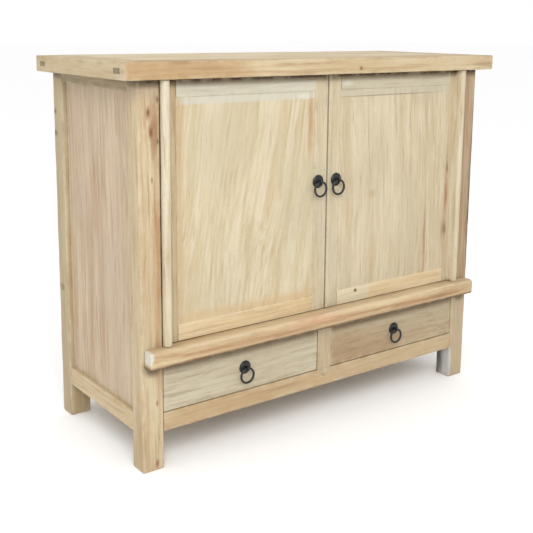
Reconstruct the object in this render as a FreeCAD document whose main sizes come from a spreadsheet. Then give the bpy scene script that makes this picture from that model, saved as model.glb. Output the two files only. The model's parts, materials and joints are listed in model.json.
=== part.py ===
import FreeCAD, Part
import Sketcher
import os
from collections import defaultdict
from types import SimpleNamespace

# A sideboard with two pivot doors over two drawers, held together by mortises and tenons.
# +X is to the viewer's right, +Y is towards the back and +Z is up.
# The origin is on the floor, under the middle of the cabinet's overall box.

# Driving sizes, in millimetres
SIZES = {
    # Whole cabinet; the body is measured over the posts
    "cabinet_height": 900,
    "body_width": 1028,
    "body_depth": 424,
    # Top: a mitred frame round a floating panel, with battens below
    "top_thickness": 38,
    "top_side_overhang": 38,
    "top_front_overhang": 22,
    "top_back_overhang": 2,
    "top_frame_width": 75,
    "top_tenon_width": 28,
    "top_tenon_height": 12,
    "top_panel_thickness": 18,
    "top_tongue_thickness": 7,
    "batten_width": 50,
    "batten_inset": 230,
    # Posts
    "post_width": 54,
    "post_depth": 50,
    "post_rounding": 5,
    "post_tenon_width": 24,
    "post_tenon_length": 9,
    # Rails and their tenons
    "rail_thickness": 30,
    "rail_inset": 2,
    "rail_shoulder": 7,
    "rail_tenon_thickness": 12,
    "rail_tenon_length": 24,
    "stub_tenon_length": 8,
    # Front frame
    "leg_clearance": 86,
    "lower_rail_height": 43,
    "drawer_opening_height": 115,
    "sill_height": 41,
    "sill_projection": 30,
    "sill_end_inset": 6,
    "sill_rounding": 9,
    "front_top_rail_height": 40,
    "muntin_width": 41,
    "muntin_mitre_depth": 14,
    # Sides and back
    "side_rail_clearance": 84,
    "side_rail_height": 44,
    "side_top_rail_height": 24,
    "panel_recess": 12,
    "panel_thickness": 12,
    "panel_tongue": 6,
    "rear_top_rail_height": 40,
    # Inside of the cabinet
    "floor_thickness": 16,
    "shelf_thickness": 18,
    "shelf_rise": 290,
    "shelf_setback": 14,
    "bearer_width": 34,
    "bearer_height": 25,
    "runner_width": 52,
    "runner_height": 22,
    "guide_height": 30,
    # Doors
    "door_thickness": 24,
    "door_recess": 5,
    "door_side_gap": 3,
    "door_meeting_gap": 4,
    "door_end_gap": 1.5,
    "door_stop_gap": 0.8,
    "door_frame_width": 38,
    "door_tenon_thickness": 8,
    "door_panel_sink": 1,
    "door_bevel_depth": 3,
    "door_bevel_width": 15,
    "door_plate_thickness": 8,
    # Door pivots: a round pole on each outer stile, with a pin at each end
    "pole_radius": 10.4,
    "pole_inset": 7.5,
    "pole_post_gap": 0.6,
    "pole_end_gap": 0.4,
    "pole_neck": 4,
    "pivot_radius": 6,
    "pivot_length": 18,
    "pivot_clearance": 0.05,
    "pivot_end_clearance": 2,
    # Drawers
    "drawer_recess": 4,
    "drawer_gap": 1.2,
    "drawer_side_inset": 1,
    "drawer_seat_gap": 0.3,
    "drawer_back_gap": 20,
    "drawer_front_thickness": 20,
    "drawer_wall": 12,
    "drawer_wall_drop": 10,
    "drawer_bottom_thickness": 8,
    "drawer_bottom_rise": 6,
    "drawer_tongue": 5,
    # Ring pulls
    "door_pull_height": 607,
    "door_pull_inset": 28,
    "rosette_radius": 16,
    "rosette_rim": 1.4,
    "rosette_dome": 3.6,
    "eye_radius": 5.6,
    "eye_thickness": 5,
    "eye_gap": 0.2,
    "pin_radius": 2.2,
    "pin_clearance": 0.15,
    "pin_leg_length": 14,
    "pin_leg_width": 4,
    "pin_leg_thickness": 2,
    "ring_radius": 17.5,
    "ring_wire_radius": 2.6,
    "ring_clearance": 0.08,
}


class Length:
    """A length kept as the text of an expression over the cells of the sheet."""

    def __init__(self, text):
        self.text = str(text)

    def joined(self, sign, other):
        other_text = other.text if isinstance(other, Length) else str(other)
        return Length(f"({self.text} {sign} {other_text})")

    def __add__(self, other):
        return self.joined("+", other)

    def __sub__(self, other):
        return self.joined("-", other)

    def __mul__(self, other):
        return self.joined("*", other)

    def __truediv__(self, other):
        return self.joined("/", other)

    def __neg__(self):
        return Length(f"(-{self.text})")


def root(length):
    return Length(f"sqrt({length.text})")


doc = FreeCAD.newDocument("sideboard")
sheet = doc.addObject("Spreadsheet::Sheet", "Sizes")
for row, (alias, value) in enumerate(SIZES.items(), start=1):
    sheet.set(f"A{row}", alias)
    sheet.set(f"B{row}", str(value))
    sheet.setAlias(f"B{row}", alias)
doc.recompute()
size = SimpleNamespace(**{alias: Length(f"Sizes.{alias}") for alias in SIZES})

# Each node's solid before its joints are cut, and the pieces that are let into each node
blanks = {}
housings = defaultdict(list)

# Shared places
FLOOR = Length(0)
CENTRE = Length(0)
SIDES = {"left": -1, "right": 1}
half_width = size.body_width / 2
front = size.sill_projection - (size.body_depth + size.sill_projection + size.top_back_overhang) / 2
back = front + size.body_depth
front_bay = front + size.post_depth
rear_bay = back - size.post_depth
bay = (front_bay, rear_bay)
post_inner = half_width - size.post_width
between_posts = (-post_inner, post_inner)
rail_outer = half_width - size.rail_inset
rail_inner = rail_outer - size.rail_thickness
panel_inner = half_width - size.panel_recess - size.panel_thickness
rail_face = front + size.rail_inset
underside = size.cabinet_height - size.top_thickness
lower_rail_top = size.leg_clearance + size.lower_rail_height
sill_bottom = lower_rail_top + size.drawer_opening_height
sill_top = sill_bottom + size.sill_height
door_face = front + size.door_recess
door_back = door_face + size.door_thickness

# Kinds of tenon; the thin battens have shoulders that follow their thickness
BATTEN_SHOULDER_SHARE = 0.35
batten_thickness = size.top_thickness - size.top_panel_thickness
RAIL_TENON = SimpleNamespace(length=size.rail_tenon_length, thickness=size.rail_tenon_thickness,
                             shoulder=size.rail_shoulder)
MUNTIN_TENON = SimpleNamespace(length=size.stub_tenon_length, thickness=size.rail_tenon_thickness,
                               shoulder=size.rail_shoulder)
BATTEN_TENON = SimpleNamespace(length=size.stub_tenon_length, thickness=size.rail_tenon_thickness,
                               shoulder=batten_thickness * BATTEN_SHOULDER_SHARE)
DOOR_TENON = SimpleNamespace(length=size.rail_tenon_length, thickness=size.door_tenon_thickness,
                             shoulder=size.rail_shoulder)
THICKNESS_AXIS = {"x": "y", "y": "x", "z": "y"}


def across(side, near, far):
    """The X span from near to far of the centre, on the side that the sign gives."""
    return (near, far) if side > 0 else (-far, -near)


def middle(span):
    return (span[0] + span[1]) / 2


def about(centre, width):
    """A span of the given width about a centre."""
    return (centre - width / 2, centre + width / 2)


def widened(span, margin):
    return (span[0] - margin, span[1] + margin)


def narrowed(span, margin):
    return (span[0] + margin, span[1] - margin)


def bind(item, **lengths):
    for name, length in lengths.items():
        item.setExpression(name, length.text)


def place(item, x, y, z):
    for axis, length in zip("xyz", (x, y, z)):
        item.setExpression(f"Placement.Base.{axis}", length.text)


def box(name, x, y, z):
    """A box between low and high faces on each axis."""
    item = doc.addObject("Part::Box", name)
    bind(item, Length=x[1] - x[0], Width=y[1] - y[0], Height=z[1] - z[0])
    place(item, x[0], y[0], z[0])
    return item


TURNS = {
    "X": FreeCAD.Rotation(FreeCAD.Vector(0, 1, 0), 90),
    "Y": FreeCAD.Rotation(FreeCAD.Vector(1, 0, 0), -90),
    "Z": FreeCAD.Rotation(),
}


def cylinder(name, axis, radius, start, length):
    """A cylinder from its start point, along the axis named."""
    item = doc.addObject("Part::Cylinder", name)
    item.Placement.Rotation = TURNS[axis]
    bind(item, Radius=radius, Height=length)
    place(item, *start)
    return item


def frustum(name, y, front_x, front_z, back_x, back_z):
    """A block whose front and back faces are rectangles of different sizes."""
    item = doc.addObject("Part::Wedge", name)
    bind(item, Ymin=y[0], Ymax=y[1], Xmin=front_x[0], Xmax=front_x[1], Zmin=front_z[0], Zmax=front_z[1],
         X2min=back_x[0], X2max=back_x[1], Z2min=back_z[0], Z2max=back_z[1])
    return item


def fuse(name, *pieces):
    item = doc.addObject("Part::MultiFuse", name)
    item.Shapes = list(pieces)
    item.Refine = True
    return item


def cut(name, base, *tools):
    """The base with the tools taken out of it, one after another."""
    for number, tool in enumerate(tools, start=1):
        item = doc.addObject("Part::Cut", f"{name}_cut_{number}")
        item.Base = base
        item.Tool = tool
        item.Refine = True
        base = item
    return base


def group(name, *pieces):
    """Separate solids that make one node."""
    item = doc.addObject("Part::Compound", name)
    item.Links = list(pieces)
    return item


def let_into(tool, *names):
    """Notes that the named nodes are cut to take the tool."""
    for name in names:
        housings[name].append(tool)


def is_upright(edge, bounds):
    return edge.BoundBox.ZLength > bounds.ZLength / 2


def is_in_front(edge, bounds):
    return edge.BoundBox.YMax < bounds.Center.y


def rounded_bar(name, x, y, z, radius, is_rounded):
    """A bar padded from a rectangle, with the edges that is_rounded picks rounded over."""
    body = doc.addObject("PartDesign::Body", name)
    sketch = body.newObject("Sketcher::SketchObject", f"{name}_outline")
    plane = next(plane for plane in body.Origin.OriginFeatures if plane.Role == "XY_Plane")
    sketch.AttachmentSupport = [(plane, "")]
    sketch.MapMode = "FlatFace"
    corners = [FreeCAD.Vector(*corner) for corner in ((0, 0), (1, 0), (1, 1), (0, 1))]
    for number, corner in enumerate(corners):
        sketch.addGeometry(Part.LineSegment(corner, corners[(number + 1) % 4]))
    for number in range(4):
        sketch.addConstraint(Sketcher.Constraint("Coincident", number, 2, (number + 1) % 4, 1))
        sketch.addConstraint(Sketcher.Constraint("Vertical" if number % 2 else "Horizontal", number))
    sketch.addConstraint(Sketcher.Constraint("Coincident", 0, 1, -1, 1))
    width = sketch.addConstraint(Sketcher.Constraint("DistanceX", 0, 1, 0, 2, 1))
    depth = sketch.addConstraint(Sketcher.Constraint("DistanceY", 1, 1, 1, 2, 1))
    sketch.setExpression(f"Constraints[{width}]", (x[1] - x[0]).text)
    sketch.setExpression(f"Constraints[{depth}]", (y[1] - y[0]).text)
    pad = body.newObject("PartDesign::Pad", f"{name}_pad")
    pad.Profile = sketch
    bind(pad, Length=z[1] - z[0])
    doc.recompute()
    edges = [f"Edge{number}" for number, edge in enumerate(pad.Shape.Edges, start=1)
             if is_rounded(edge, pad.Shape.BoundBox)]
    rounding = body.newObject("PartDesign::Fillet", f"{name}_rounding")
    rounding.Base = (pad, edges)
    bind(rounding, Radius=radius)
    body.Tip = rounding
    place(body, x[0], y[0], z[0])
    return body


def rail(name, along, tenon, joined, **spans):
    """A rail between shoulders, with a tenon at each end that is let into the nodes joined."""
    core = {axis: narrowed(span, tenon.shoulder) for axis, span in spans.items()}
    core[along] = widened(spans[along], tenon.length)
    thickness = THICKNESS_AXIS[along]
    core[thickness] = about(middle(spans[thickness]), tenon.thickness)
    tenons = box(f"{name}_tenons", **core)
    let_into(tenons, *joined)
    return fuse(f"{name}_blank", box(f"{name}_body", **spans), tenons)


def grooved_panel(name, joined, **spans):
    """A plain panel whose edges run in grooves of the nodes joined."""
    panel = box(f"{name}_blank", **spans)
    let_into(panel, *joined)
    return panel


def build_top():
    """The mitred top: long rails with through tenons, ends, a tongued panel and battens."""
    half_top = half_width + size.top_side_overhang
    top_front = front - size.top_front_overhang
    top_back = back + size.top_back_overhang
    height = (underside, size.cabinet_height)
    full_x = (-half_top, half_top)
    open_x = narrowed(full_x, size.top_frame_width)
    open_y = narrowed((top_front, top_back), size.top_frame_width)
    tenon_z = about(middle(height), size.top_tenon_height)
    long_rails = {
        "front": ((top_front, open_y[0]), full_x, open_x),
        "back": ((open_y[1], top_back), open_x, full_x),
    }
    for end, (y, front_x, back_x) in long_rails.items():
        name = f"top_{end}_rail"
        mitred = frustum(f"{name}_mitred", y, front_x, height, back_x, height)
        tenons = box(f"{name}_tenons", full_x, about(middle(y), size.top_tenon_width), tenon_z)
        blanks[name] = fuse(f"{name}_blank", mitred, tenons)
        let_into(blanks[name], "top_left_end", "top_right_end")
    for side_name, side in SIDES.items():
        name = f"top_{side_name}_end"
        end_x = across(side, open_x[1], half_top)
        blanks[name] = box(f"{name}_blank", end_x, (top_front, top_back), height)
    panel_z = (size.cabinet_height - size.top_panel_thickness, size.cabinet_height)
    tongue = box("top_panel_tongue", widened(open_x, size.panel_tongue), widened(open_y, size.panel_tongue),
                 about(middle(panel_z), size.top_tongue_thickness))
    let_into(tongue, "top_front_rail", "top_back_rail", "top_left_end", "top_right_end")
    blanks["top_panel"] = fuse("top_panel_blank", box("top_panel_field", open_x, open_y, panel_z), tongue)
    battens = [rail(f"{side_name}_batten", "y", BATTEN_TENON, ("top_front_rail", "top_back_rail"),
                    x=about(size.batten_inset * side, size.batten_width), y=open_y,
                    z=(underside, underside + batten_thickness))
               for side_name, side in SIDES.items()]
    blanks["top_battens"] = group("top_battens_blank", *battens)


def build_posts():
    """Four posts with softened edges, each with a tenon up into the top."""
    for side_name, side in SIDES.items():
        x = across(side, post_inner, half_width)
        for end, y, top_rail in (("front", (front, front_bay), "top_front_rail"),
                                 ("rear", (rear_bay, back), "top_back_rail")):
            name = f"{end}_{side_name}_post"
            shaft = rounded_bar(f"{name}_shaft", x, y, (FLOOR, underside), size.post_rounding, is_upright)
            tenon_x = about(middle(x), size.post_tenon_width)
            tenon_y = about(middle(y), size.post_tenon_width)
            tenon = box(f"{name}_tenon", tenon_x, tenon_y, (underside, underside + size.post_tenon_length))
            blanks[name] = fuse(f"{name}_blank", shaft, tenon)
            let_into(tenon, top_rail, f"top_{side_name}_end")


def build_front_frame():
    """The rails between the front posts, the proud door sill and the muntin between the drawers."""
    posts = ("front_left_post", "front_right_post")
    blanks["front_top_rail"] = rail("front_top_rail", "x", RAIL_TENON, posts, x=between_posts,
                                    y=(door_back + size.door_stop_gap, front_bay),
                                    z=(underside - size.front_top_rail_height, underside))
    sill = rail("door_sill", "x", RAIL_TENON, posts, x=between_posts, y=(front, front_bay),
                z=(sill_bottom, sill_top))
    nose = rounded_bar("door_sill_nose", narrowed((-half_width, half_width), size.sill_end_inset),
                       (front - size.sill_projection, front), (sill_bottom, sill_top),
                       size.sill_rounding, is_in_front)
    blanks["door_sill_rail"] = fuse("door_sill_rail_blank", sill, nose)
    blanks["front_lower_rail"] = rail("front_lower_rail", "x", RAIL_TENON, posts, x=between_posts,
                                      y=(rail_face, front_bay), z=(size.leg_clearance, lower_rail_top))
    muntin_x = about(CENTRE, size.muntin_width)
    muntin = rail("drawer_muntin", "z", MUNTIN_TENON, ("door_sill_rail", "front_lower_rail"), x=muntin_x,
                  y=(rail_face, front_bay), z=(lower_rail_top, sill_bottom))
    blanks["drawer_muntin"] = fuse("drawer_muntin_mitred", muntin, build_muntin_mitre())


def build_muntin_mitre():
    """The V-shaped shoulder of the muntin: a square bar on edge, half of it in the lower rail."""
    mitre_side = size.muntin_width / Length("sqrt(2)")
    mitre = doc.addObject("Part::Box", "drawer_muntin_mitre")
    mitre.Placement.Rotation = FreeCAD.Rotation(FreeCAD.Vector(0, 1, 0), 45)
    bind(mitre, Length=mitre_side, Width=size.muntin_mitre_depth, Height=mitre_side)
    place(mitre, -size.muntin_width / 2, rail_face, lower_rail_top)
    let_into(mitre, "front_lower_rail")
    return mitre


def build_back():
    """Three rails between the rear posts, and two panels in their grooves."""
    posts = ("rear_left_post", "rear_right_post")
    top_rail_bottom = underside - size.rear_top_rail_height
    rails = {
        "rear_top_rail": (top_rail_bottom, underside),
        "rear_middle_rail": (sill_bottom, sill_top),
        "rear_lower_rail": (size.leg_clearance, lower_rail_top),
    }
    rail_y = (rear_bay, back - size.rail_inset)
    for name, z in rails.items():
        blanks[name] = rail(name, "x", RAIL_TENON, posts, x=between_posts, y=rail_y, z=z)
    panels = {
        "upper_back_panel": ((sill_top, top_rail_bottom), "rear_middle_rail", "rear_top_rail"),
        "lower_back_panel": ((lower_rail_top, sill_bottom), "rear_lower_rail", "rear_middle_rail"),
    }
    outer_face = back - size.panel_recess
    panel_x = widened(between_posts, size.panel_tongue)
    panel_y = (outer_face - size.panel_thickness, outer_face)
    for name, (z, below, above) in panels.items():
        blanks[name] = grooved_panel(name, (*posts, below, above), x=panel_x, y=panel_y,
                                     z=widened(z, size.panel_tongue))


def build_sides():
    """A top rail, a bottom rail and a sunk panel between the posts of each side."""
    bottom_z = (size.side_rail_clearance, size.side_rail_clearance + size.side_rail_height)
    top_z = (underside - size.side_top_rail_height, underside)
    for side_name, side in SIDES.items():
        posts = (f"front_{side_name}_post", f"rear_{side_name}_post")
        rails = {f"{side_name}_side_top_rail": top_z, f"{side_name}_side_bottom_rail": bottom_z}
        rail_x = across(side, rail_inner, rail_outer)
        for name, z in rails.items():
            blanks[name] = rail(name, "y", RAIL_TENON, posts, x=rail_x, y=bay, z=z)
        name = f"{side_name}_side_panel"
        blanks[name] = grooved_panel(name, (*posts, *rails),
                                     x=across(side, panel_inner, half_width - size.panel_recess),
                                     y=widened(bay, size.panel_tongue),
                                     z=widened((bottom_z[1], top_z[0]), size.panel_tongue))


def build_inside():
    """The floor over the drawers, a shelf, and what carries them and the drawers."""
    between_panels = (-panel_inner, panel_inner)
    shelf_z = sill_top + size.shelf_rise
    boards = {
        "cabinet_floor": ("floor_bearers", bay, sill_top - size.floor_thickness, size.floor_thickness),
        "shelf": ("shelf_bearers", (front_bay + size.shelf_setback, rear_bay), shelf_z, size.shelf_thickness),
    }
    for name, (bearers, y, bottom, thickness) in boards.items():
        blanks[name] = box(f"{name}_blank", between_panels, y, (bottom, bottom + thickness))
        pair = [box(f"{side_name}_{bearers}", across(side, panel_inner - size.bearer_width, panel_inner), bay,
                    (bottom - size.bearer_height, bottom)) for side_name, side in SIDES.items()]
        blanks[bearers] = group(f"{bearers}_blank", *pair)
    runner_x = (rail_inner - size.runner_width, rail_inner)
    runner_z = (lower_rail_top - size.runner_height, lower_rail_top)
    guide_z = (lower_rail_top, lower_rail_top + size.guide_height)
    strips = {
        "drawer_runners": (runner_x, size.muntin_width + size.runner_width, runner_z),
        "drawer_guides": ((post_inner, rail_inner), size.muntin_width, guide_z),
    }
    for name, (outer_x, centre_width, z) in strips.items():
        outer = [box(f"{side_name}_{name}", across(side, *outer_x), bay, z)
                 for side_name, side in SIDES.items()]
        centre = box(f"centre_{name}", about(CENTRE, centre_width), bay, z)
        blanks[name] = group(f"{name}_blank", *outer, centre)


def build_door(side_name, side):
    """A framed door with a bevelled panel, whose outer stile carries the round pivot pole."""
    door = f"{side_name}_door"
    y = (door_face, door_back)
    z = narrowed((sill_top, underside), size.door_end_gap)
    near = size.door_meeting_gap / 2
    far = post_inner - size.door_side_gap
    inner_x = across(side, near + size.door_frame_width, far - size.door_frame_width)
    inner_z = narrowed(z, size.door_frame_width)
    stiles = (f"{door}_pivot_stile", f"{door}_meeting_stile")
    board = box(f"{door}_pivot_board", across(side, far - size.door_frame_width, far), y, z)
    blanks[stiles[0]] = fuse(f"{stiles[0]}_blank", board, *build_pole(door, side, far, z))
    blanks[stiles[1]] = box(f"{stiles[1]}_blank", across(side, near, near + size.door_frame_width), y, z)
    rails = {f"{door}_top_rail": (inner_z[1], z[1]), f"{door}_bottom_rail": (z[0], inner_z[0])}
    for name, rail_z in rails.items():
        blanks[name] = rail(name, "x", DOOR_TENON, stiles, x=inner_x, y=y, z=rail_z)
    field_face = door_face + size.door_panel_sink
    plate_face = field_face + size.door_bevel_depth
    plate = grooved_panel(f"{door}_plate", (*stiles, *rails), x=widened(inner_x, size.panel_tongue),
                          y=(plate_face, plate_face + size.door_plate_thickness),
                          z=widened(inner_z, size.panel_tongue))
    field = frustum(f"{door}_field", (field_face, plate_face), narrowed(inner_x, size.door_bevel_width),
                    narrowed(inner_z, size.door_bevel_width), inner_x, inner_z)
    blanks[f"{door}_panel"] = fuse(f"{door}_panel_blank", plate, field)
    build_pull(door, stiles[1], size.door_pull_inset * side, door_face, size.door_thickness,
               size.door_pull_height)


def build_pole(door, side, far, door_z):
    """The round pole in front of the pivot stile, the neck that joins them, and the pins at its ends."""
    pole_x = (post_inner - size.pole_inset) * side
    # The pole clears the post's rounded corner, so its offset follows from the distance between their axes
    axes_apart = size.pole_radius + size.pole_post_gap + size.post_rounding
    axes_aside = size.pole_inset + size.post_rounding
    pole_y = front + size.post_rounding - root(axes_apart * axes_apart - axes_aside * axes_aside)
    pole_z = narrowed((sill_top, underside), size.pole_end_gap)
    pin_z = widened((sill_top, underside), size.pivot_length)
    hole_z = widened(pin_z, size.pivot_end_clearance)
    pole = cylinder(f"{door}_pole", "Z", size.pole_radius, (pole_x, pole_y, pole_z[0]), pole_z[1] - pole_z[0])
    pins = cylinder(f"{door}_pins", "Z", size.pivot_radius, (pole_x, pole_y, pin_z[0]), pin_z[1] - pin_z[0])
    neck_near = post_inner - size.pole_inset - size.pole_neck
    neck = box(f"{door}_neck", across(side, neck_near, far), (pole_y, door_face), door_z)
    hole = cylinder(f"{door}_pivot_hole", "Z", size.pivot_radius + size.pivot_clearance,
                    (pole_x, pole_y, hole_z[0]), hole_z[1] - hole_z[0])
    let_into(hole, "door_sill_rail", "top_front_rail")
    return pole, pins, neck


def build_drawer(side_name, side):
    """A drawer: a flush front, two sides let into it, a back, and a bottom in grooves."""
    drawer = f"{side_name}_drawer"
    near = size.muntin_width / 2 + size.drawer_gap
    far = post_inner - size.drawer_gap
    face = front + size.drawer_recess
    front_back = face + size.drawer_front_thickness
    end = rear_bay - size.drawer_back_gap
    front_z = narrowed((lower_rail_top, sill_bottom), size.drawer_gap)
    wall_z = (lower_rail_top + size.drawer_seat_gap, front_z[1] - size.drawer_wall_drop)
    bottom_z = wall_z[0] + size.drawer_bottom_rise
    bottom_top = bottom_z + size.drawer_bottom_thickness
    box_near = near + size.drawer_side_inset
    box_far = far - size.drawer_side_inset
    inner_x = across(side, box_near + size.drawer_wall, box_far - size.drawer_wall)
    front_name = f"{drawer}_front"
    blanks[front_name] = box(f"{front_name}_blank", across(side, near, far), (face, front_back), front_z)
    walls = {
        f"{drawer}_inner_side": across(side, box_near, box_near + size.drawer_wall),
        f"{drawer}_outer_side": across(side, box_far - size.drawer_wall, box_far),
    }
    for name, x in walls.items():
        blanks[name] = box(f"{name}_blank", x, (front_back - size.drawer_tongue, end), wall_z)
        let_into(blanks[name], front_name)
    blanks[f"{drawer}_back"] = box(f"{drawer}_back_blank", inner_x, (end - size.drawer_wall, end),
                                   (bottom_top, wall_z[1]))
    bottom_y = (front_back - size.drawer_tongue, end)
    blanks[f"{drawer}_bottom"] = grooved_panel(f"{drawer}_bottom", (front_name, *walls),
                                               x=widened(inner_x, size.drawer_tongue), y=bottom_y,
                                               z=(bottom_z, bottom_top))
    build_pull(drawer, front_name, middle(across(side, near, far)), face, size.drawer_front_thickness,
               middle(front_z))


def build_pull(owner, carrier, x, face, carrier_depth, z):
    """A ring pull: a domed rosette, a split pin whose eye holds the ring, and the ring."""
    eye_y = face - size.rosette_rim - size.rosette_dome - size.eye_gap - size.eye_radius
    carrier_back = face + carrier_depth
    shank = cylinder(f"{owner}_pin_shank", "Y", size.pin_radius, (x, eye_y, z), carrier_back - eye_y)
    shank_hole = cylinder(f"{owner}_pin_hole", "Y", size.pin_radius + size.pin_clearance, (x, eye_y, z),
                          carrier_back - eye_y)
    let_into(shank_hole, carrier)
    rosette = cut(f"{owner}_rosette", build_dome(owner, x, face, z), shank_hole)
    eye_x = about(x, size.eye_thickness)
    eye = cylinder(f"{owner}_eye", "X", size.eye_radius, (eye_x[0], eye_y, z), size.eye_thickness)
    legs = box(f"{owner}_pin_legs", about(x, size.pin_leg_width),
               (carrier_back, carrier_back + size.pin_leg_thickness), widened((z, z), size.pin_leg_length))
    # The ring is curved, so its hole is wider than its wire by the rise of the arc inside the eye
    arc_rise = size.eye_thickness * size.eye_thickness / (size.ring_radius * 8)
    ring_hole = cylinder(f"{owner}_ring_hole", "X", size.ring_wire_radius + arc_rise + size.ring_clearance,
                         (x - size.eye_thickness, eye_y, z), size.eye_thickness * 2)
    pin = cut(f"{owner}_pin", fuse(f"{owner}_pin_blank", shank, eye, legs), ring_hole)
    blanks[f"{owner}_pull_boss"] = group(f"{owner}_pull_boss_blank", rosette, pin)
    ring = doc.addObject("Part::Torus", f"{owner}_ring")
    ring.Placement.Rotation = TURNS["Y"]
    bind(ring, Radius1=size.ring_radius, Radius2=size.ring_wire_radius)
    place(ring, x, eye_y, z - size.ring_radius)
    blanks[f"{owner}_pull_ring"] = ring


def build_dome(owner, x, face, z):
    """The rosette's dome: the part of a sphere that lies within a short cylinder."""
    dome_front = face - size.rosette_rim - size.rosette_dome
    ball_radius = (size.rosette_radius * size.rosette_radius + size.rosette_dome * size.rosette_dome) \
        / (size.rosette_dome * 2)
    ball = doc.addObject("Part::Sphere", f"{owner}_rosette_ball")
    bind(ball, Radius=ball_radius)
    place(ball, x, dome_front + ball_radius, z)
    disc = cylinder(f"{owner}_rosette_disc", "Y", size.rosette_radius, (x, dome_front, z), face - dome_front)
    dome = doc.addObject("Part::MultiCommon", f"{owner}_rosette_dome")
    dome.Shapes = [disc, ball]
    return dome


def finish_nodes():
    """Cuts every node's joints and gives it its label."""
    nodes = []
    for name, blank in blanks.items():
        node = cut(name, blank, *housings[name])
        node.Label = name
        nodes.append(node)
    return nodes


def check(nodes):
    """Stops the build if any object failed or a node has no sound solid."""
    failed = [item.Name for item in doc.Objects if {"Invalid", "Error"} & set(item.State)]
    unsound = [node.Label for node in nodes
               if node.Shape.isNull() or not node.Shape.isValid() or not node.Shape.Solids]
    if failed or unsound:
        raise RuntimeError(f"failed objects: {failed}; unsound nodes: {unsound}")


build_top()
build_posts()
build_front_frame()
build_back()
build_sides()
build_inside()
for side_name, side in SIDES.items():
    build_door(side_name, side)
    build_drawer(side_name, side)
nodes = finish_nodes()
doc.recompute()
check(nodes)

os.makedirs("parts", exist_ok=True)
for node in nodes:
    node.Shape.exportStep(f"parts/{node.Label}.step")
print(len(nodes), "nodes written")
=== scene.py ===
import json
import math
from collections import namedtuple
import bmesh
import bpy
from mathutils import Euler, Matrix, Vector, noise


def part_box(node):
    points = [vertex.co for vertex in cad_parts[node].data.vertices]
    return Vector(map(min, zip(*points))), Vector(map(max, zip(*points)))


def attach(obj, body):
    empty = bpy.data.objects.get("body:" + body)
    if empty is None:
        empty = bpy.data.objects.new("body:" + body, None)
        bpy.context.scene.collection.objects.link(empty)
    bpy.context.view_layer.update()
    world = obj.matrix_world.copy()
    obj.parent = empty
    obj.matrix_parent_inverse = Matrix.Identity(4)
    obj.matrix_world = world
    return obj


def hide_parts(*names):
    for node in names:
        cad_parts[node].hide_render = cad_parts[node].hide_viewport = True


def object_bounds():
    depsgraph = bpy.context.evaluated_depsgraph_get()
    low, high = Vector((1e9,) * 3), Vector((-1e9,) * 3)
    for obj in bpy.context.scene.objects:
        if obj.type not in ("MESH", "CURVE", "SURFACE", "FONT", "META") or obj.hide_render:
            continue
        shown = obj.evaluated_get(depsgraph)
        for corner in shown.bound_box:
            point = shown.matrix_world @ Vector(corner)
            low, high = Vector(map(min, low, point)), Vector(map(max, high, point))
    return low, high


# A sideboard of pale old elm: worn members, bevelled door panels and black iron ring pulls.
# Lengths are in metres in the part's own frame: +X to the right, +Y to the back, +Z up.

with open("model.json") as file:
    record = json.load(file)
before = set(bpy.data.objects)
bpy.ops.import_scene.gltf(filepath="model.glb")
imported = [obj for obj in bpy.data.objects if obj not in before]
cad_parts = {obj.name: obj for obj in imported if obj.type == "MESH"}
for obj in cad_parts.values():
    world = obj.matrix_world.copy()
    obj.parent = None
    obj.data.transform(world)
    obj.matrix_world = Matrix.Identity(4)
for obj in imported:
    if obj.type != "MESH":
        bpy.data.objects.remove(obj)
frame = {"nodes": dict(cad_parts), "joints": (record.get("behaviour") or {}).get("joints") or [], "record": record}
cad_low, cad_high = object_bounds()

MM = 0.001
QUARTER_TURN = math.radians(90)
FULL_TURN = math.radians(360)
SIDES = {"left": -1, "right": 1}
BODY_OF = {node: body for body, nodes in frame["record"]["behaviour"]["bodies"].items() for node in nodes}
JOINT_OF = {joint["child"]: joint for joint in frame["joints"]}


def mm(*lengths):
    """Lengths that are written in millimetres."""
    return tuple(length * MM for length in lengths)


# Places taken from the frame


def low(node):
    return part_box(node)[0]


def high(node):
    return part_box(node)[1]


def clamped(node, **spans):
    """A node's box, drawn in to the faces given for some of its axes, which hides its tenons."""
    start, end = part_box(node)
    for axis, (near, far) in spans.items():
        index = "xyz".index(axis)
        start[index] = max(start[index], near)
        end[index] = min(end[index], far)
    return start, end


def lerp(start, end, share):
    return start + (end - start) * share


def at_shares(node, shares):
    """A place in a node's box, from its share of the way across on each axis."""
    start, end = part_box(node)
    return Vector([lerp(start[axis], end[axis], shares[axis]) for axis in range(3)])


underside = low("top_front_rail").z
post_face = low("front_left_post").y

# Worn shapes

STATION_STEP = 9 * MM
ARC_STEPS = 4
FACE_STEPS = 8
END_STEPS = 3
INNER_RIM_SHARE = 0.92
LEAST_RADIUS = 0.2 * MM
FLATNESS = 0.05 * MM
WEAR_REACH = 5 * MM
# How far edges are rounded: plain ones, those of rails, and the softer ones round a door's panel
EDGE = 1 * MM
RAIL_EDGE = 2 * MM
INNER_EDGE = 3 * MM
# How far most members have their ends rounded, their faces worn hollow and their edges nicked
END_ROUNDING = 0.4 * MM
FACE_WEAR = 0.4 * MM
NICK_DEPTH = 0.8 * MM
# Waves per metre of the uneven faces and of the nicks, and the level of their noise at which a nick starts
FACE_WAVES = 14
NICK_WAVES = 31
NICK_LEVEL = 0.15
# The axis along a member, then the two axes across it
AXES = {"x": (0, 1, 2), "y": (1, 2, 0), "z": (2, 0, 1)}


def rough(point, waves):
    """Smooth noise from -1 to 1 that is the same at each run."""
    return noise.noise(Vector(point) * waves)


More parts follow.
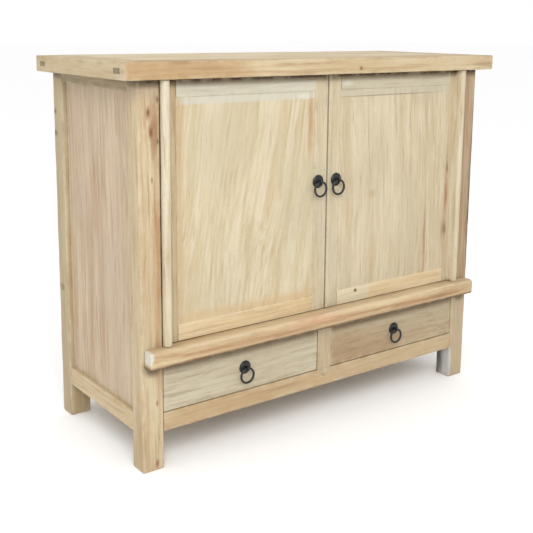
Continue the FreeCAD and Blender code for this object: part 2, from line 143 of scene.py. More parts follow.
class Shape:
    """The points and faces of one piece, gathered from closed shells."""

    def __init__(self):
        self.points = []
        self.faces = []
        self.finishes = []
        self.finish = 0

    def add_faces(self, faces):
        self.faces.extend(faces)
        self.finishes.extend([self.finish] * len(faces))

    def add_skin(self, loops, closed):
        """A skin through loops of equal length, which closes on itself or has a cap at each end."""
        start = len(self.points)
        count = len(loops[0])
        for loop in loops:
            self.points.extend(loop)
        faces = []
        for row in range(len(loops) if closed else len(loops) - 1):
            base = start + row * count
            above = start + (row + 1) % len(loops) * count
            for corner in range(count):
                following = (corner + 1) % count
                faces.append((base + corner, base + following, above + following, above + corner))
        if not closed:
            last = start + (len(loops) - 1) * count
            faces.append(tuple(range(start + count - 1, start - 1, -1)))
            faces.append(tuple(range(last, last + count)))
        self.add_faces(faces)

    def add_slab(self, xs, zs, front, back):
        """A board that faces -Y: a grid with its front at front(x, z), and a flat back with a worn rim."""
        start = len(self.points)
        wide, tall = len(xs), len(zs)
        self.points.extend(Vector((x, front(x, z), z)) for z in zs for x in xs)
        faces = []
        for row in range(tall - 1):
            for column in range(wide - 1):
                near = start + row * wide + column
                faces.extend(self.split_quad(near, near + 1, near + wide + 1, near + wide))
        border = [start + column for column in range(wide)]
        border += [start + row * wide + wide - 1 for row in range(1, tall)]
        border += [start + (tall - 1) * wide + column for column in range(wide - 2, -1, -1)]
        border += [start + row * wide for row in range(tall - 2, 0, -1)]
        middle = Vector(((xs[0] + xs[-1]) / 2, back, (zs[0] + zs[-1]) / 2))
        rim = border
        for share in (1, INNER_RIM_SHARE):
            outline = [self.points[index] for index in border]
            ring = list(range(len(self.points), len(self.points) + len(border)))
            self.points.extend(Vector((lerp(middle.x, point.x, share), back, lerp(middle.z, point.z, share)))
                               for point in outline)
            for corner in range(len(border)):
                following = (corner + 1) % len(border)
                faces.append((rim[corner], ring[corner], ring[following], rim[following]))
            rim = ring
        faces.append(tuple(rim))
        self.add_faces(faces)

    def split_quad(self, a, b, c, d):
        """One face, or two triangles along the ridge where the four points aren't flat."""
        middle_ac = (self.points[a].y + self.points[c].y) / 2
        middle_bd = (self.points[b].y + self.points[d].y) / 2
        if abs(middle_ac - middle_bd) < FLATNESS:
            return [(a, b, c, d)]
        if middle_ac < middle_bd:
            return [(a, b, c), (a, c, d)]
        return [(a, b, d), (b, c, d)]

    def bounds(self):
        corners = []
        for pick in (min, max):
            corners.append(Vector([pick(point[axis] for point in self.points) for axis in range(3)]))
        return corners


def section(v, w, radii, inset):
    """Points round a rounded rectangle: two places across, their outward direction, and 1 on the corners.

    On the faces they gather near the edges, where the wear changes.
    """
    signs = ((1, 1), (-1, 1), (-1, -1), (1, -1))
    arcs = []
    for corner, (sign_v, sign_w) in enumerate(signs):
        radius = max(radii[corner] - inset, LEAST_RADIUS)
        centre_v = v[1] - inset - radius if sign_v > 0 else v[0] + inset + radius
        centre_w = w[1] - inset - radius if sign_w > 0 else w[0] + inset + radius
        arc = []
        for step in range(ARC_STEPS + 1):
            angle = QUARTER_TURN * (corner + step / ARC_STEPS)
            out = (math.cos(angle), math.sin(angle))
            arc.append((centre_v + radius * out[0], centre_w + radius * out[1], *out, 1))
        arcs.append(arc)
    points = []
    for corner, arc in enumerate(arcs):
        points.extend(arc)
        start, end = arc[-1], arcs[(corner + 1) % len(arcs)][0]
        for step in range(1, FACE_STEPS):
            share = step ** 3 / (step ** 3 + (FACE_STEPS - step) ** 3)
            points.append((lerp(start[0], end[0], share), lerp(start[1], end[1], share), *start[2:4], 0))
    return points


def stations(length, end_rounding):
    """Places along a member from 0 to its length, each with how far the section is drawn in there."""
    curve = []
    for step in range(END_STEPS + 1):
        angle = QUARTER_TURN * step / END_STEPS
        curve.append((end_rounding * (1 - math.cos(angle)), end_rounding * (1 - math.sin(angle))))
    count = max(2, round((length - 2 * end_rounding) / STATION_STEP))
    straight = [(lerp(end_rounding, length - end_rounding, step / count), 0) for step in range(1, count)]
    return curve + straight + [(length - place, inset) for place, inset in reversed(curve)]


def add_bar(shape, start, end, along, rounding, end_rounding=END_ROUNDING, wave=FACE_WEAR, nicks=NICK_DEPTH,
            ends=None):
    """A member worn by use: rounded edges with nicks, slightly uneven faces, softened ends."""
    a, b, c = AXES[along]
    radii = rounding if isinstance(rounding, tuple) else (rounding,) * 4
    length = end[a] - start[a]
    loops = []
    for place, inset in stations(length, end_rounding):
        loop = []
        for v, w, out_v, out_w, on_corner in section((start[b], end[b]), (start[c], end[c]), radii, inset):
            near, far = ends(v, w) if ends else (start[a], end[a])
            point = Vector((0, 0, 0))
            point[a], point[b], point[c] = lerp(near, far, place / length), v, w
            worn = wave * (1 + rough(point, FACE_WAVES)) / 2
            if on_corner:
                edge = point + Vector((out_v, out_w, 0))
                worn += nicks * max(0, rough(edge, NICK_WAVES) - NICK_LEVEL)
            point[b] -= worn * out_v
            point[c] -= worn * out_w
            loop.append(point)
        loops.append(loop)
    shape.add_skin(loops, closed=False)


def add_lathe(shape, axis, centre, profile, steps):
    """A turned form: the profile's (place along the axis, radius) pairs, from end to end."""
    a, b, c = AXES[axis]
    loops = []
    for place, radius in profile:
        loop = []
        for step in range(steps):
            angle = FULL_TURN * step / steps
            point = Vector(centre)
            point[a] += place
            point[b] += radius * math.cos(angle)
            point[c] += radius * math.sin(angle)
            loop.append(point)
        loops.append(loop)
    shape.add_skin(loops, closed=False)


def add_torus(shape, axis, centre, radius, wire, steps, uneven_share, width_share=1):
    """A forged ring about an axis: an uneven wire, which may be wider along the axis."""
    a, b, c = AXES[axis]
    wire_steps, swells = 14, 2
    loops = []
    for step in range(steps):
        angle = FULL_TURN * step / steps
        loop = []
        for turn in range(wire_steps):
            around = FULL_TURN * turn / wire_steps
            swell = 1 + uneven_share * rough((math.cos(angle), math.sin(angle), around), swells)
            reach = radius + wire * swell * math.cos(around)
            point = Vector(centre)
            point[a] += wire * width_share * swell * math.sin(around)
            point[b] += reach * math.cos(angle)
            point[c] += reach * math.sin(angle)
            loop.append(point)
        loops.append(loop)
    shape.add_skin(loops, closed=True)


def edge_wear(shape):
    """How near each point is to an edge of the piece: 1 on the edge, falling to 0 on the faces."""
    start, end = shape.bounds()
    values = []
    for point in shape.points:
        depths = sorted(min(point[axis] - start[axis], end[axis] - point[axis]) for axis in range(3))
        values.append(math.exp(-depths[1] / WEAR_REACH))
    return values


def add_object(name, data):
    """A new object in the scene."""
    added = bpy.data.objects.new(name, data)
    bpy.context.scene.collection.objects.link(added)
    return added


def make_piece(node, shape, *materials):
    """The finished piece that stands for a CAD node and moves with its body."""
    mesh = bpy.data.meshes.new(f"worn_{node}")
    mesh.from_pydata(shape.points, [], shape.faces)
    for material in materials:
        mesh.materials.append(material)
    mesh.polygons.foreach_set("material_index", shape.finishes)
    work = bmesh.new()
    work.from_mesh(mesh)
    bmesh.ops.recalc_face_normals(work, faces=work.faces)
    work.to_mesh(mesh)
    work.free()
    mesh.shade_smooth()
    wear = mesh.attributes.new("wear", "FLOAT", "POINT")
    wear.data.foreach_set("value", edge_wear(shape))
    piece = add_object(f"worn_{node}", mesh)
    piece.modifiers.new("flat faces", "WEIGHTED_NORMAL")
    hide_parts(node)
    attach(piece, BODY_OF[node])


def make_bar(node, corners, along, rounding, tones, wear=(), **look):
    """The finished piece where it is a single worn member, with the grain along it."""
    shape = Shape()
    add_bar(shape, *corners, along, rounding, **dict(wear))
    make_piece(node, shape, wood(node, along, tones, **look))


# Materials

# How much brighter than its own colour a front face shows in this light
FRONT_GAIN = 1.44


def srgb(red, green, blue):
    """A colour from its usual 0 to 255 values."""
    return tuple(((level / 255 + 0.055) / 1.055) ** 2.4 for level in (red, green, blue)) + (1,)


def seen(red, green, blue):
    """The colour of a front face that looks so in this light."""
    return tuple(level / FRONT_GAIN for level in srgb(red, green, blue)[:3]) + (1,)


class Nodes:
    """A material's node tree, with short calls for the nodes that the finishes use."""

    def __init__(self, name):
        self.material = bpy.data.materials.new(name)
        self.material.use_nodes = True
        self.tree = self.material.node_tree
        self.shader = next(node for node in self.tree.nodes if node.type == "BSDF_PRINCIPLED")
        self.place = self.add("ShaderNodeTexCoord").outputs["Object"]

    def put(self, socket, value):
        if isinstance(value, bpy.types.NodeSocket):
            self.tree.links.new(value, socket)
        else:
            socket.default_value = value

    def add(self, kind, inputs=(), **settings):
        node = self.tree.nodes.new(kind)
        for name, value in settings.items():
            setattr(node, name, value)
        for key, value in dict(inputs).items():
            self.put(node.inputs[key], value)
        return node

    def shade(self, **inputs):
        """Sets the shader's inputs, with their names in lower case and underscores."""
        for name, value in inputs.items():
            label = name.replace("_", " ")
            self.put(next(socket for socket in self.shader.inputs if socket.name.lower() == label), value)

    def math(self, operation, first, second=0):
        return self.add("ShaderNodeMath", {0: first, 1: second}, operation=operation).outputs[0]

    def times(self, first, second):
        return self.math("MULTIPLY", first, second)

    def vector(self, operation, first, second=(0, 0, 0)):
        return self.add("ShaderNodeVectorMath", {0: first, 1: second}, operation=operation).outputs["Vector"]

    def length(self, vector):
        return self.add("ShaderNodeVectorMath", {0: vector}, operation="LENGTH").outputs["Value"]

    def noise(self, vector, texture, output=0):
        """A texture's noise over a vector: its value, or its colour."""
        inputs = {"Vector": self.vector("MULTIPLY", vector, texture.waves), "Scale": 1,
                  "Detail": texture.octaves, "Roughness": texture.roughness}
        return self.add("ShaderNodeTexNoise", inputs).outputs[output]

    def span(self, value, start, end, new_start=0, new_end=1):
        """A smooth step of a value from one range to another."""
        inputs = {"Value": value, "From Min": start, "From Max": end, "To Min": new_start, "To Max": new_end}
        return self.add("ShaderNodeMapRange", inputs, interpolation_type="SMOOTHSTEP").outputs["Result"]

    def mix(self, share, first, second):
        """A mix of two colours, which go into the mix node's inputs 6 and 7."""
        return self.add("ShaderNodeMix", {0: share, 6: first, 7: second}, data_type="RGBA").outputs[2]

    def bump(self, height, strength, distance):
        inputs = {"Height": height, "Strength": strength, "Distance": distance}
        self.shade(normal=self.add("ShaderNodeBump", inputs).outputs[0])


# Tones of marks, dirt, painted shade, sawn ends and iron
CREAM = seen(230, 216, 184)
STRAW = seen(212, 192, 152)
RUSSET = seen(150, 96, 58)
UMBER = seen(78, 54, 36)
CHALK = seen(228, 225, 210)
# The brown of the painted shade under overhangs
PAINTED_SHADE_TONE = seen(108, 88, 60)
SAWN_PALE = seen(142, 134, 108)
SAWN_DARK = seen(112, 98, 72)
IRON_BLACK = srgb(46, 49, 50)
IRON_BROWN = srgb(54, 48, 40)
IRON_BRIGHT = srgb(112, 117, 120)

# Tones of a board: its pale and warm streaks, its deep lines, and the cast of its blotches
Tones = namedtuple("Tones", "pale warm deep cast")
TAN = (190, 158, 114)


def board(*looks):
    """The tones of a board, from how they look on a front face."""
    return Tones(*(seen(*look) for look in looks))


TOP_FRONT = board((226, 208, 172), (208, 181, 139), (184, 150, 106), (216, 193, 152))
TOP_END = board((222, 204, 168), (204, 178, 138), TAN, (211, 192, 155))
TOP_PANEL = board((246, 231, 198), (230, 209, 168), TAN, (232, 211, 174))
LEFT_POST = board((224, 207, 172), (206, 179, 140), (180, 146, 104), (206, 182, 148))
RIGHT_POST = board((198, 174, 140), (180, 152, 118), (156, 122, 90), (184, 157, 126))
REAR = board((214, 197, 162), (196, 174, 136), TAN, (192, 176, 146))
SIDE_PANEL = board((229, 210, 181), (209, 182, 148), (182, 150, 117), (212, 191, 165))
# The side's top rail is darker than its other wood: painted shade under the top's overhang
SIDE_HEAD_SHADED = board((192, 175, 144), (172, 152, 120), (148, 126, 94), (178, 160, 130))
SIDE_FOOT = board((234, 214, 177), (219, 193, 152), TAN, (224, 202, 166))
SILL = board((230, 207, 166), (205, 174, 130), (164, 122, 80), (211, 180, 138))
LOWER_RAIL = board((214, 190, 152), (204, 174, 132), (188, 152, 110), (208, 182, 144))
MUNTIN = board((208, 189, 156), (196, 175, 140), TAN, (200, 180, 148))
LEFT_PANEL = board((231, 218, 188), (215, 197, 159), (198, 172, 130), (212, 199, 168))
RIGHT_PANEL = board((228, 214, 184), (211, 193, 158), (190, 164, 126), (209, 195, 164))
STILE = board((224, 210, 180), (212, 196, 162), (196, 172, 134), (208, 197, 170))
PIVOT_STILE = board((206, 187, 150), (192, 168, 128), (176, 146, 106), (204, 184, 152))
POLE = board((233, 223, 197), (217, 200, 167), (192, 170, 132), (222, 207, 176))
LEFT_HEAD = board((226, 221, 203), (214, 207, 185), (198, 188, 162), (218, 212, 192))
RIGHT_HEAD = board((214, 205, 180), (204, 192, 164), (190, 174, 142), (207, 198, 172))
DOOR_FOOT = board((243, 221, 181), (230, 202, 157), (205, 170, 123), (235, 210, 168))
LEFT_DRAWER = board((218, 207, 180), (200, 187, 157), (172, 150, 116), (204, 191, 162))
RIGHT_DRAWER = board((206, 187, 153), (182, 157, 122), (142, 109, 75), (190, 170, 136))
INNER = board((208, 189, 152), (196, 171, 131), TAN, (200, 183, 150))

# A noise: its waves per metre on each axis, its octaves, and how strong the finer ones are
# In wood the axes are two across the grain and one along it
Texture = namedtuple("Texture", "waves octaves roughness", defaults=(2, 0.5))
SWAY = Texture((4.5, 4.5, 1.4), 4, 0.45)
STREAK = Texture((34, 34, 2), 5, 0.74)
PATCH = Texture(STREAK.waves, 1)
THREAD = Texture((120, 120, 6), 3, 0.6)
FIBRE = Texture((400, 400, 14), 3, 0.6)
PORE = Texture((1400, 1400, 40), 1)
PIT = Texture((190, 190, 26))
BLOTCH = Texture((6, 6, 3.5), 3)
RAGGED = Texture((130, 130, 30), 4, 0.75)
RUB = Texture((26, 26, 26), 5, 0.65)
FLECK = Texture((500, 500, 500), 3, 0.6)
SAWN_ARCS = Texture((30, 160, 420))
DENT = Texture((260, 260, 260))
GRIT = Texture((1900, 1900, 1900), 3, 0.6)
BLOOM = Texture((120, 120, 120), 3)
PAPER = Texture((3, 3, 3), 3)
# How strongly blotches, fibres, pores, fine cracks and seams show
BLOTCH_SHARE = 0.7
FIBRE_SHARE = 0.3
PORE_SHARE = 0.15
CRACK_SHARE = 0.13
SEAM_SHARE = 0.5
# The trunk's heart beside a board, the grain's jump from node to node, and waves per ring of its vigour
HEART = mm(70, 45)
GRAIN_JUMP = 0.37
VIGOUR_WAVES = 0.37
SEAM_WIDTH = 0.7 * MM
HALF = (0.5, 0.5, 0.5)
GRAIN_TURN = {"x": (0, QUARTER_TURN, 0), "y": (QUARTER_TURN, 0, 0), "z": (0, 0, 0)}
NODE_ORDER = sorted(BODY_OF)
# A reach past the edges of any face
ALL_ACROSS = cad_high.z - cad_low.z
# How far the painted shade reaches: below the sill, below the top, in the dark line there, and into the wood
UNDER_SILL = 21 * MM
UNDER_TOP = 15 * MM
DARK_LINE = 7 * MM
SHADE_DEPTH = 5 * MM

# A knot, a stain, a pale patch or a painted shade, placed by its shares of the node's box, with a reach on each
# axis
Spot = namedtuple("Spot", "shares reach tone strength soft ragged", defaults=(2,))


def wood(node, grain, tones, ring=12 * MM, figure=0.45, lines=0.5, sway=45 * MM, arch=1.5, slant=1,
         planks=None, spots=(), name=None):
    """Old elm: growth rings, streaks, fibres, pores, blotches, spots, and edges rubbed pale or dark.

    The figure and the lines say how strongly the rings and the fine lines show. The arch and the slant turn
    the grain, in degrees.
    """
    nodes = Nodes(name or f"{node}_elm")
    laid, seam = lay_planks(nodes, *planks) if planks else (nodes.place, None)
    grown = along_grain(nodes, laid, grain, sway, arch, slant, NODE_ORDER.index(node) * GRAIN_JUMP)
    late = growth_rings(nodes, grown, ring)
    fibre = nodes.noise(grown, FIBRE)
    thread = nodes.noise(grown, THREAD)
    pore = nodes.span(nodes.noise(grown, PORE), 0.6, 0.72)
    pit = nodes.span(nodes.noise(grown, PIT), 0.68, 0.78)
    colour = nodes.mix(nodes.span(nodes.noise(grown, STREAK), 0.38, 0.64), tones.pale, tones.warm)
    layers = ((nodes.span(thread, 0.46, 0.74, 0, lines), tones.deep),
              (nodes.times(late, figure), tones.deep),
              (nodes.span(nodes.noise(laid, BLOTCH), 0.4, 0.7, 0, BLOTCH_SHARE), tones.cast),
              (nodes.span(fibre, 0.45, 0.75, 0, FIBRE_SHARE), tones.deep),
              (nodes.times(pore, PORE_SHARE), UMBER),
              (nodes.times(pit, PORE_SHARE), UMBER))
    for share, tone in layers:
        colour = nodes.mix(share, colour, tone)
    ragged = nodes.noise(grown, RAGGED, "Color")
    for spot in spots:
        colour = add_spot(nodes, ragged, colour, at_shares(node, spot.shares), spot)
    colour = nodes.mix(nodes.span(thread, 0.5, 0.75, 0, CRACK_SHARE), colour, UMBER)
    if planks:
        colour = nodes.mix(nodes.times(seam, SEAM_SHARE), colour, UMBER)
    nodes.shade(base_color=rub_edges(nodes, colour), specular_ior_level=0.25)
    nodes.shade(roughness=nodes.span(fibre, 0.3, 0.7, 0.52, 0.7))
    relief = nodes.math("ADD", nodes.times(fibre, 0.6), nodes.times(late, 0.3))
    height = nodes.math("SUBTRACT", relief, nodes.math("ADD", pore, pit))
    nodes.bump(height, strength=0.22, distance=0.6 * MM)
    return nodes.material


def lay_planks(nodes, axis, width):
    """Shifts the grain from plank to plank across an axis, and gives the seams between them."""
    across = nodes.add("ShaderNodeSeparateXYZ", {0: nodes.place}).outputs["xyz".index(axis)]
    count = nodes.math("DIVIDE", across, width)
    jump = nodes.add("ShaderNodeTexWhiteNoise", {"W": nodes.math("FLOOR", count)}, noise_dimensions="1D")
    within = nodes.math("FRACT", count)
    edge = nodes.math("MINIMUM", within, nodes.math("SUBTRACT", 1, within))
    return nodes.vector("ADD", nodes.place, jump.outputs["Color"]), nodes.span(edge, SEAM_WIDTH / width, 0)


def along_grain(nodes, laid, grain, sway, arch, slant, phase):
    """Coordinates with Z along the grain, swaying as a grown trunk does."""
    lean = Euler((math.radians(arch), math.radians(slant), 0)).to_matrix()
    turn = lean @ Euler(GRAIN_TURN[grain]).to_matrix()
    shift = (HEART[0] + phase, HEART[1], phase)
    inputs = {"Vector": laid, "Rotation": turn.to_euler(), "Location": shift}
    straight = nodes.add("ShaderNodeMapping", inputs).outputs[0]
    wander = nodes.noise(straight, SWAY, "Color")
    bend = nodes.vector("MULTIPLY", nodes.vector("SUBTRACT", wander, HALF), (sway, sway, 0))
    return nodes.vector("ADD", straight, bend)


def growth_rings(nodes, grown, ring):
    """The late wood of each ring: it deepens slowly, ends at once, and is stronger in some years."""
    from_heart = nodes.length(nodes.vector("MULTIPLY", grown, (1, 1, 0)))
    year = nodes.math("DIVIDE", from_heart, ring)
    within = nodes.math("FRACT", year)
    late = nodes.times(nodes.span(within, 0.3, 0.9), nodes.span(within, 1, 0.92))
    inputs = {"W": nodes.times(year, VIGOUR_WAVES), "Scale": 1}
    vigour = nodes.add("ShaderNodeTexNoise", inputs, noise_dimensions="1D").outputs[0]
    patchy = nodes.noise(grown, PATCH)
    late = nodes.times(late, nodes.span(vigour, 0.3, 0.7, 0.2, 1))
    return nodes.times(late, nodes.span(patchy, 0.3, 0.6, 0.3, 1))


def add_spot(nodes, ragged, colour, centre, spot):
    """Another tone within an ellipsoid, whose soft border frays along the grain."""
    looseness = tuple(spot.ragged * spot.soft * reach for reach in spot.reach)
    loose = nodes.vector("MULTIPLY", nodes.vector("SUBTRACT", ragged, HALF), looseness)
    offset = nodes.vector("SUBTRACT", nodes.vector("ADD", nodes.place, loose), centre)
    distance = nodes.length(nodes.vector("DIVIDE", offset, spot.reach))
    return nodes.mix(nodes.span(distance, 1 + spot.soft, 1 - spot.soft, 0, spot.strength), colour, spot.tone)


def painted_shade_band(node, height, reach, width=ALL_ACROSS, depth=SHADE_DEPTH, face_share=0):
    """A soft band of painted shade on a front face, below an overhang at a height."""
    shares = (0.5, face_share, (height - low(node).z) / (high(node).z - low(node).z))
    return Spot(shares, (width, depth, reach), PAINTED_SHADE_TONE, 0.75, 0.45, 0.5)


def painted_eaves_shade(node, depth=SHADE_DEPTH, face_share=0):
    """The painted shade under the top's overhang: a dark line that fades into a soft band."""
    band = painted_shade_band(node, underside, UNDER_TOP, depth=depth, face_share=face_share)
    return band, band._replace(reach=(ALL_ACROSS, depth, DARK_LINE), tone=UMBER, strength=0.9)


def rub_edges(nodes, colour):
    """Edges that hands have rubbed pale in some places and darkened in others."""
    wear = nodes.add("ShaderNodeAttribute", attribute_name="wear").outputs["Fac"]
    patches = nodes.noise(nodes.place, RUB)
    rubbed = nodes.times(wear, nodes.span(patches, 0.42, 0.65, 0, 0.5))
    darkened = nodes.times(wear, nodes.span(patches, 0.5, 0.3, 0, 0.2))
    return nodes.mix(darkened, nodes.mix(rubbed, colour, CREAM), UMBER)


def end_grain(name):
    """Wood sawn across the fibres: dark, flecked, with close arcs of growth rings."""
    nodes = Nodes(name)
    fleck = nodes.noise(nodes.place, FLECK)
    arcs = nodes.noise(nodes.place, SAWN_ARCS)
    colour = nodes.mix(nodes.span(arcs, 0.35, 0.65), SAWN_PALE, SAWN_DARK)
    nodes.shade(base_color=nodes.mix(nodes.span(fleck, 0.4, 0.7, 0, 0.5), colour, STRAW))
    nodes.shade(roughness=nodes.span(fleck, 0.3, 0.7, 0.65, 0.85))
    nodes.bump(fleck, strength=0.3, distance=0.4 * MM)
    return nodes.material


def iron(name):
    """Blackened wrought iron: hammer marks, a brown bloom and rubbed high spots."""
    nodes = Nodes(name)
    grit = nodes.noise(nodes.place, GRIT)
    bloom = nodes.noise(nodes.place, BLOOM)
    colour = nodes.mix(nodes.span(bloom, 0.45, 0.7), IRON_BLACK, IRON_BROWN)
    colour = nodes.mix(nodes.span(grit, 0.5, 0.75, 0, 0.6), colour, IRON_BRIGHT)
    nodes.shade(base_color=colour, metallic=0.8, roughness=nodes.span(bloom, 0.3, 0.7, 0.3, 0.5))
    relief = nodes.math("ADD", nodes.noise(nodes.place, DENT), nodes.times(grit, 0.25))
    nodes.bump(relief, strength=0.35, distance=0.5 * MM)
    return nodes.material


# The parts of the sideboard

TOP_ROUNDING = 2.5 * MM
TOP_WEAR = {"wave": 0.7 * MM, "nicks": 2 * MM}


def build_top():
    """Four mitred members with the ends of the through tenons, and the panel between them."""
    outer_x = (low("top_left_end").x, high("top_right_end").x)
    outer_y = (low("top_front_rail").y, high("top_back_rail").y)
    dark_end = end_grain("tenon_ends")
    spots = (Spot((0.1, 0, 0.4), mm(190, 60, 60), seen(190, 154, 110), 0.75, 0.3),
             Spot((0.57, 0, 0.34), mm(5, 9, 4), RUSSET, 0.8, 0.5))
    build_top_rail("top_front_rail", outer_y[0], outer_x, TOP_FRONT, spots, dark_end)
    build_top_rail("top_back_rail", outer_y[1], outer_x, TOP_PANEL, (), dark_end)
    for node, outer in zip(("top_left_end", "top_right_end"), outer_x):
        build_top_end(node, outer, outer_y)
    build_top_panel()


def build_top_rail(node, outer, outer_x, tones, spots, dark_end):
    """A rail of the top, mitred from its outer edge, with the tenon that comes through at each end."""
    tenon_half_width, tenon_half_height, tenon_length = mm(14, 6, 20)
    start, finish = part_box(node)

    def mitre(y, z):
        return outer_x[0] + abs(y - outer), outer_x[1] - abs(y - outer)

    shape = Shape()
    add_bar(shape, start, finish, "x", TOP_ROUNDING, ends=mitre, **TOP_WEAR)
    shape.finish = 1
    middle = (start + finish) / 2
    reach = Vector((0, tenon_half_width, tenon_half_height))
    for tip in outer_x:
        near, far = sorted((tip, tip - math.copysign(tenon_length, tip)))
        tenon_low = Vector((near, *middle.yz)) - reach
        tenon_high = Vector((far, *middle.yz)) + reach
        add_bar(shape, tenon_low, tenon_high, "x", TOP_ROUNDING / 4, wave=0, nicks=0)
    make_piece(node, shape, wood(node, "x", tones, figure=0.6, lines=0.7, spots=spots), dark_end)


def build_top_end(node, outer, outer_y):
    """An end of the top, mitred from its outer edge."""

    def mitre(z, x):
        return outer_y[0] + abs(x - outer), outer_y[1] - abs(x - outer)

    make_bar(node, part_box(node), "y", TOP_ROUNDING, TOP_END, {"ends": mitre, **TOP_WEAR})


def build_top_panel():
    """The floating panel of the top, as far as it shows."""
    node = "top_panel"
    plank_count = 3
    x = (high("top_left_end").x, low("top_right_end").x)
    y = (high("top_front_rail").y, low("top_back_rail").y)
    planks = ("y", (y[1] - y[0]) / plank_count)
    make_bar(node, clamped(node, x=x, y=y), "x", LEAST_RADIUS, TOP_PANEL, planks=planks)


def post_marks():
    """The knots, streaks, stains and rubbed edges of the posts, with painted shade beside the left pole, at the
    left post's top, and on the right post's outer edge and leg.
    """
    streak = mm(9, 14, 60)
    knot = mm(2.5, 9, 6)
    ring = mm(5, 9, 13)
    return {"front_left_post": (
        Spot((0.78, 0, 0.46), mm(5, 12, 280), seen(190, 140, 96), 0.6, 0.8),
        Spot((0.74, 0, 0.875), streak, RUSSET, 0.65, 0.8),
        Spot((0.8, 0, 0.62), streak, seen(184, 132, 88), 0.45, 0.8),
        Spot((0.45, 0, 0.912), ring, RUSSET, 0.7, 0.9),
        Spot((0.45, 0, 0.914), knot, UMBER, 0.6, 0.8),
        Spot((0.54, 0, 0.867), ring, RUSSET, 0.8, 0.9),
        Spot((0.56, 0, 0.866), knot, UMBER, 0.5, 0.9),
        Spot((0.58, 0, 0.75), knot, RUSSET, 0.7, 0.8),
        Spot((0.86, 0, 0.943), knot, UMBER, 0.85, 0.8),
        Spot((0.86, 0, 0.843), knot, UMBER, 0.7, 0.8),
        # Painted shade in the gap between the post and the pole
        Spot((1, 0, 0.62), mm(4.5, 14, 330), UMBER, 0.75, 0.5, 0.5),
        Spot((0.68, 0, 0.18), knot, RUSSET, 0.8, 0.8),
        Spot((0.65, 0, 0.018), mm(4, 9, 8), RUSSET, 0.8, 0.8),
        # Painted shade at the post's top, under the top's overhang
        Spot((0.5, 0.5, 0.99), mm(60, 60, 45), seen(184, 166, 146), 0.6, 0.5),
    ), "front_right_post": (
        Spot((0.5, 0.5, 0.12), mm(80, 80, 150), seen(205, 185, 151), 0.75, 0.3),
        Spot((0, 0.4, 0.05), mm(9, 40, 48), seen(214, 216, 216), 0.85, 0.35),
        # Painted shade along the back edge of the leg's inner face
        Spot((0, 1, 0.05), mm(9, 22, 60), seen(74, 74, 76), 0.85, 0.5),
        Spot((0, 0, 0.65), mm(7, 16, 400), CREAM, 0.6, 0.5),
        # Painted shade along the post's outer right edge
        Spot((1, 0, 0.6), mm(9, 16, 210), seen(92, 60, 40), 0.85, 0.6, 1),
    ), "rear_left_post": (
        Spot((0, 0.85, 0.88), knot, UMBER, 0.7, 0.8),
        Spot((0, 0.8, 0.82), knot, UMBER, 0.7, 0.8),
        Spot((0, 0.6, 0.38), mm(9, 12, 9), seen(150, 124, 86), 0.7, 0.5),
    )}


def build_posts():
    """Four square posts with rounded edges, on legs that are softened at the floor."""
    rounding, all_round, sill_shade_width = mm(5, 90, 22)
    wear = {"end_rounding": 3.5 * MM, "wave": 0.8 * MM, "nicks": 2 * MM}
    marks = post_marks()
    tones = {"front_left_post": LEFT_POST, "front_right_post": RIGHT_POST,
             "rear_left_post": REAR, "rear_right_post": REAR}
    for node, tone in tones.items():
        # Painted shade under the top's overhang on every face of the post's top, and under the sill on the front
        # posts
        painted_shade = painted_eaves_shade(node, depth=all_round)
        if node.startswith("front"):
            painted_shade += (painted_shade_band(node, low("door_sill_rail").z, UNDER_SILL, sill_shade_width),)
        spots = (*marks.get(node, ()), *painted_shade)
        make_bar(node, clamped(node, z=(0, underside)), "z", rounding, tone, wear, lines=0.6, spots=spots)


def build_front_frame():
    """The proud sill, the rails between the front posts, and the muntin between the drawers."""
    inner_x = (high("front_left_post").x, low("front_right_post").x)
    build_sill(inner_x)
    rails = {"front_lower_rail": (RAIL_EDGE, LOWER_RAIL), "front_top_rail": (EDGE, STILE)}
    for node, (rounding, tones) in rails.items():
        make_bar(node, clamped(node, x=inner_x), "x", rounding, tones)
    build_muntin()


def build_sill(inner_x):
    """The rail under the doors: a rounded nose across the posts, and its body between them."""
    node = "door_sill_rail"
    start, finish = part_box(node)
    nose, end_rounding, wave, nicks = mm(9, 3, 1, 3)
    roundings = (LEAST_RADIUS, nose, nose, LEAST_RADIUS)
    shape = Shape()
    nose_finish = Vector((finish.x, post_face, finish.z))
    add_bar(shape, start, nose_finish, "x", roundings, end_rounding, wave, nicks)
    body_start = Vector((inner_x[0], post_face, start.z))
    add_bar(shape, body_start, Vector((inner_x[1], *finish.yz)), "x", LEAST_RADIUS)
    make_piece(node, shape, wood(node, "x", SILL, figure=0.6, lines=0.65, sway=70 * MM, spots=sill_spots()))


def sill_spots():
    """A rubbed upper edge made paler by a painted highlight, brown streaks, painted shade along the lower edge,
    and a chalky end.
    """
    streaks = ((0.15, 0.5, 70), (0.34, 0.42, 120), (0.62, 0.52, 150), (0.85, 0.38, 100))
    # The upper edge, rubbed pale and with a painted highlight
    return (Spot((0.5, 0, 1), mm(600, 30, 10), seen(238, 216, 178), 0.7, 0.6),
            Spot((0.45, 0, 0.75), mm(70, 30, 10), seen(224, 176, 138), 0.6, 0.7),
            *(Spot((along, 0, up), mm(length, 30, 4), seen(170, 120, 78), 0.6, 0.9)
              for along, up, length in streaks),
            # Painted shade along the nose's lower edge
            Spot((0.5, 0.2, 0), (ALL_ACROSS, *mm(60, 8)), seen(104, 74, 46), 0.9, 0.45, 0.5),
            Spot((0, 0.1, 0.8), mm(8, 70, 19), CHALK, 0.95, 0.3))


